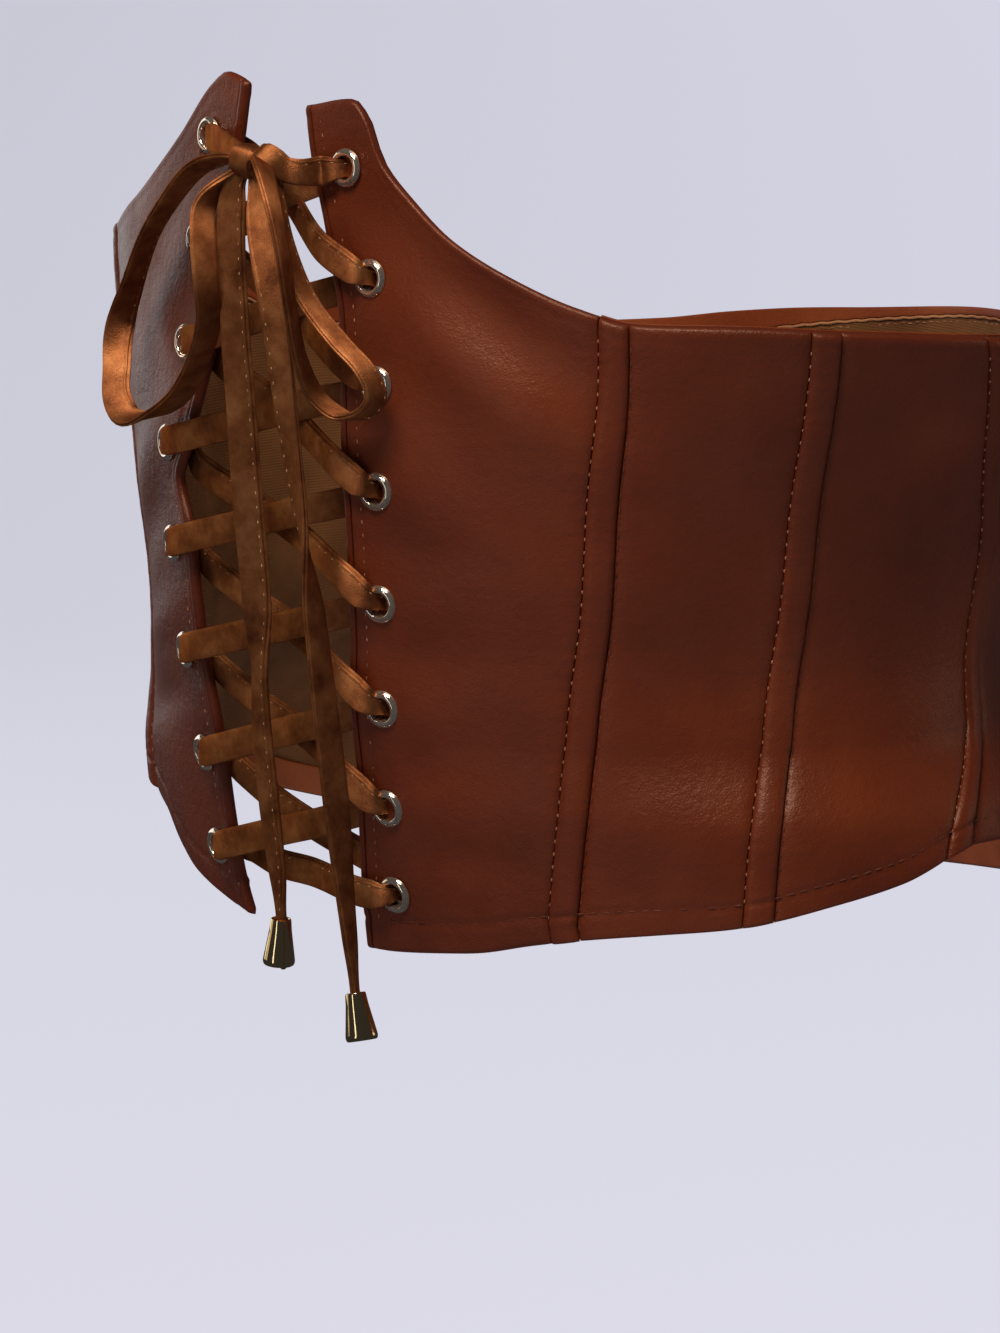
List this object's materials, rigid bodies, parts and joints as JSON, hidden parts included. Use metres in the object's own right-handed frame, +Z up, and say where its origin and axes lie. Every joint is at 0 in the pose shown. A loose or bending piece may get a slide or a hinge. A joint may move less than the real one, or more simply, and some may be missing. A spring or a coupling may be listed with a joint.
{
  "type": "corset belt",
  "caption": "Laced underbust corset belt in smooth leather with sewn bone channels, open at the front and closed by a flat lace through metal eyelets, tied in a bow.",
  "frame": {"origin": "the centre of the waist, on the body's upright axis, at the height where the waist narrows", "axes": "+Z up along the wearer's body, +X to the wearer's left, -Y to the front, where the lacing is"},
  "size_m": [0.2757, 0.2228, 0.2265],
  "materials": {
    "corset_leather": "smooth coated leather, semi-gloss, fine grain",
    "edge_leather": "the same leather folded round the front edges, a little redder",
    "facing_leather": "smooth orange-brown facing strip sewn inside the top edge and the hem",
    "lining_cloth": "matte tan-brown woven lining",
    "lace_satin": "soft satin-like flat lace, folded and edge-stitched",
    "eyelet_nickel": "polished warm nickel",
    "aglet_gold": "polished pale gold"
  },
  "bodies": {
    "root": {"aglet_left": "aglet_gold", "aglet_right": "aglet_gold", "back_channel_left": "corset_leather", "back_channel_right": "corset_leather", "back_panel": "corset_leather", "bow_loop_left": "lace_satin", "bow_loop_right": "lace_satin", "eyelet_left_1": "eyelet_nickel", "eyelet_left_2": "eyelet_nickel", "eyelet_left_3": "eyelet_nickel", "eyelet_left_4": "eyelet_nickel", "eyelet_left_5": "eyelet_nickel", "eyelet_left_6": "eyelet_nickel", "eyelet_left_7": "eyelet_nickel", "eyelet_left_8": "eyelet_nickel", "eyelet_right_1": "eyelet_nickel", "eyelet_right_2": "eyelet_nickel", "eyelet_right_3": "eyelet_nickel", "eyelet_right_4": "eyelet_nickel", "eyelet_right_5": "eyelet_nickel", "eyelet_right_6": "eyelet_nickel", "eyelet_right_7": "eyelet_nickel", "eyelet_right_8": "eyelet_nickel", "front_channel_left": "corset_leather", "front_channel_right": "corset_leather", "front_edge_left": "edge_leather", "front_edge_right": "edge_leather", "front_panel_left": "corset_leather", "front_panel_right": "corset_leather", "hem_facing": "facing_leather", "knot": "lace_satin", "lace_tail_left": "lace_satin", "lace_tail_right": "lace_satin", "lacing_left": "lace_satin", "lacing_right": "lace_satin", "lining": "lining_cloth", "rear_channel_left": "corset_leather", "rear_channel_right": "corset_leather", "side_channel_left": "corset_leather", "side_channel_right": "corset_leather", "side_front_panel_left": "corset_leather", "side_front_panel_right": "corset_leather", "side_panel_left": "corset_leather", "side_panel_right": "corset_leather", "side_rear_panel_left": "corset_leather", "side_rear_panel_right": "corset_leather", "top_facing": "facing_leather"}
  },
  "joints": []
}
